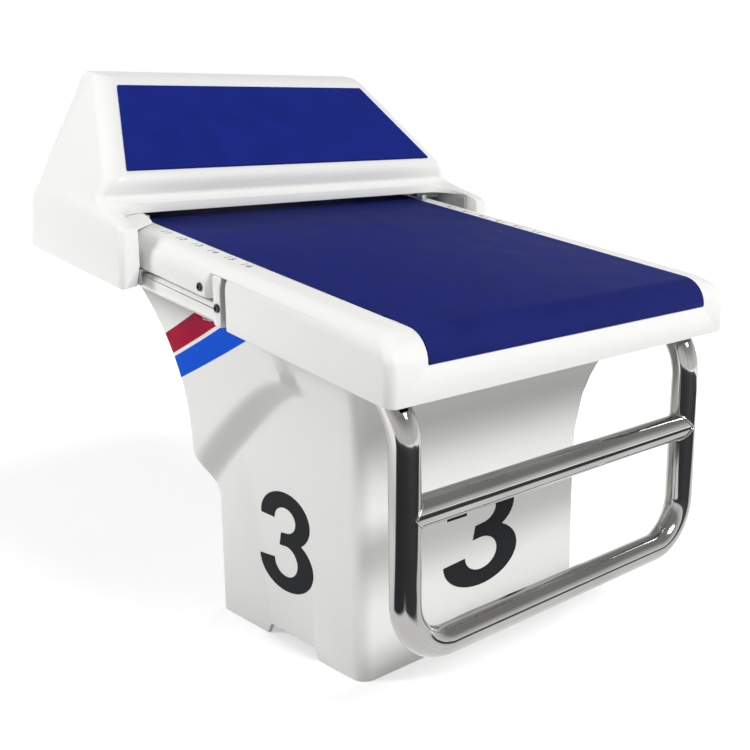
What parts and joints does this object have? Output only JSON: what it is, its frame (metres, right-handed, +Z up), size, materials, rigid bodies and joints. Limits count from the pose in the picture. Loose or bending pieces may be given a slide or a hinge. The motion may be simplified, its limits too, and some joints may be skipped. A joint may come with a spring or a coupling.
{
  "type": "swimming starting block",
  "caption": "Swimming starting block with a hollow flared column, a sloping non-slip deck, a sliding kick wedge and a bent-tube backstroke handgrip.",
  "frame": {"origin": "On the floor, at the centre of the column's foot and of the anchor plate's underside.", "axes": "+Z is up. -Y points to the pool, so the deck slopes down towards -Y and the kick wedge is at +Y. +X is to the right of someone who looks along +Y."},
  "size_m": [0.666, 0.7268, 0.7395],
  "materials": {
    "white_moulding": "glossy white gelcoat",
    "blue_grip": "matte, fine non-slip grain",
    "polished_steel": "mirror polished stainless",
    "brushed_steel": "brushed stainless",
    "painted_steel": "grey powder coat",
    "white_paint": "white powder coat",
    "plywood": "sealed plywood",
    "aluminium": "satin",
    "grey_nylon": "smooth matte"
  },
  "bodies": {
    "base": {"pedestal_shell": "white_moulding", "platform_shell": "white_moulding", "deck_mat": "blue_grip", "handgrip_tube": "polished_steel", "handgrip_crossbar": "polished_steel", "anchor_plate": "brushed_steel", "anchor_bolt_front_right": "brushed_steel", "anchor_bolt_front_left": "brushed_steel", "anchor_bolt_rear_right": "brushed_steel", "anchor_bolt_rear_left": "brushed_steel", "head_bolt_front_right": "brushed_steel", "head_bolt_front_left": "brushed_steel", "head_bolt_rear_right": "brushed_steel", "head_bolt_rear_left": "brushed_steel", "seat_bolt_front_right": "brushed_steel", "seat_bolt_front_left": "brushed_steel", "seat_bolt_rear_right": "brushed_steel", "seat_bolt_rear_left": "brushed_steel", "flange_bolt_right": "brushed_steel", "flange_bolt_left": "brushed_steel", "rail_bolt_front_right": "brushed_steel", "rail_bolt_front_left": "brushed_steel", "rail_bolt_rear_right": "brushed_steel", "rail_bolt_rear_left": "brushed_steel", "head_plate": "painted_steel", "support_post_right": "painted_steel", "support_post_left": "painted_steel", "frame_rail_right": "painted_steel", "frame_rail_left": "painted_steel", "cross_member_front": "painted_steel", "cross_member_middle": "painted_steel", "cross_member_rear": "painted_steel", "grip_socket_right": "painted_steel", "grip_socket_left": "painted_steel", "guide_rail_right": "white_paint", "guide_rail_left": "white_paint", "core_panel": "plywood", "platform_pan": "aluminium", "index_strip_right": "aluminium", "index_strip_left": "aluminium"},
    "kick": {"kick_housing": "white_moulding", "kick_pad": "blue_grip", "glide_front_right": "grey_nylon", "glide_front_left": "grey_nylon", "glide_rear_right": "grey_nylon", "glide_rear_left": "grey_nylon", "slide_tongue_right": "aluminium", "slide_tongue_left": "aluminium", "position_pointer": "white_moulding", "latch_bearing_right": "grey_nylon", "latch_bearing_left": "grey_nylon", "latch_spring": "brushed_steel"},
    "latch": {"latch_rod": "brushed_steel", "latch_pawl_right": "brushed_steel", "latch_pawl_left": "brushed_steel", "release_handle": "polished_steel"}
  },
  "joints": [
    {"name": "kick_slide", "type": "slide", "parent": "base", "child": "kick", "axis": [0, -0.9886, -0.1504], "range_m": [0, 0.14]},
    {"name": "latch_release", "type": "hinge", "parent": "kick", "child": "latch", "pos_m": [0, 0.306, 0.57944], "axis": [1, 0, 0], "range_deg": [-14, 0]}
  ]
}
